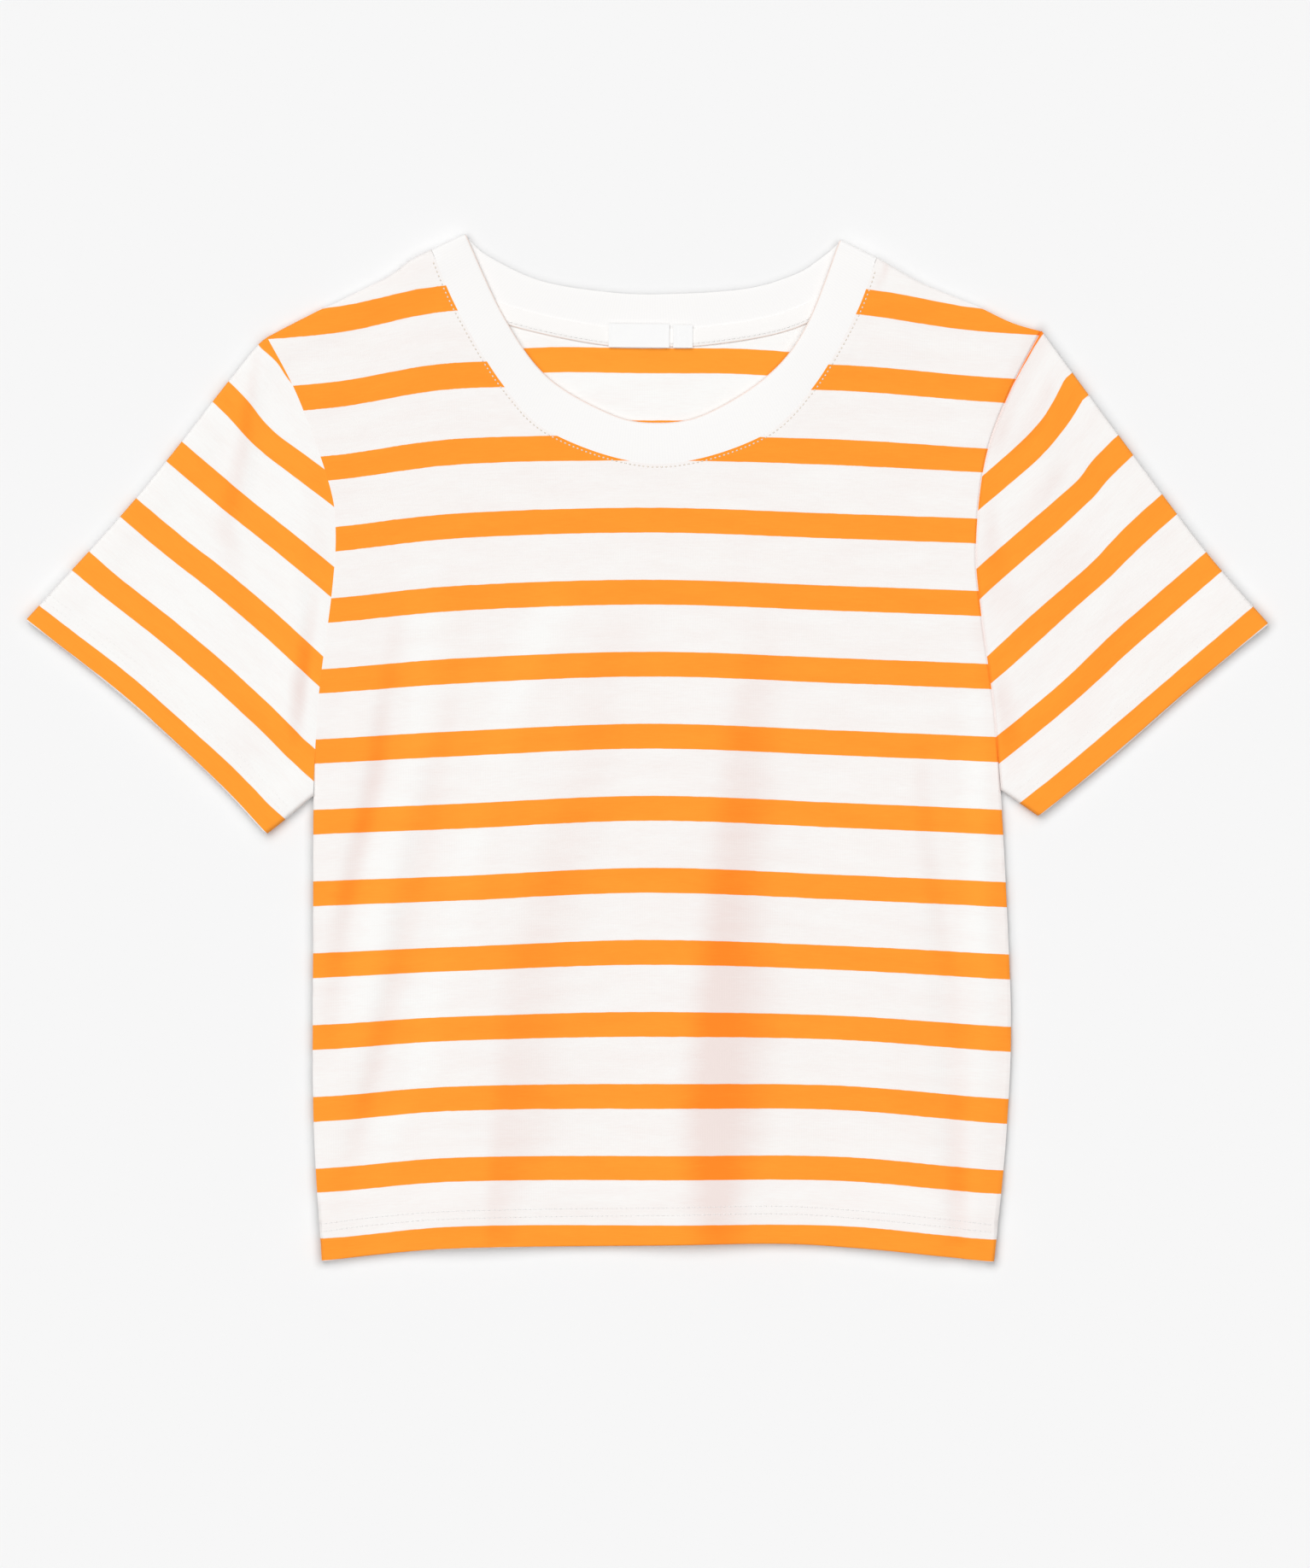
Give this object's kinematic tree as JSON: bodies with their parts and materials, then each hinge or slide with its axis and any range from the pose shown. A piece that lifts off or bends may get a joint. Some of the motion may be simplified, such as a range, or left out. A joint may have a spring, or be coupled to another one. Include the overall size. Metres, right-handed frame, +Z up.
{
  "type": "crop top",
  "caption": "Short-sleeved crop top in striped cotton jersey with a rib scoop neck, laid out flat and face up.",
  "frame": {"origin": "on the surface that the top lies on, under the middle of its outline", "axes": "+X to the viewer's right, across the body from sleeve to sleeve; +Y from the hem to the neck; +Z up, out of the front"},
  "size_m": [0.6542, 0.5418, 0.0081],
  "materials": {
    "striped_jersey": "matte single jersey knit, orange stripes on off-white",
    "neck_rib": "matte fine rib knit, white",
    "neck_tape": "matte jersey tape, off-white",
    "woven_label": "smooth woven label, white, bare"
  },
  "bodies": {
    "root": {"front": "striped_jersey", "back": "striped_jersey", "left_sleeve": "striped_jersey", "right_sleeve": "striped_jersey", "neckband": "neck_rib", "neck_tape": "neck_tape", "main_label": "woven_label", "size_label": "woven_label"}
  },
  "joints": []
}
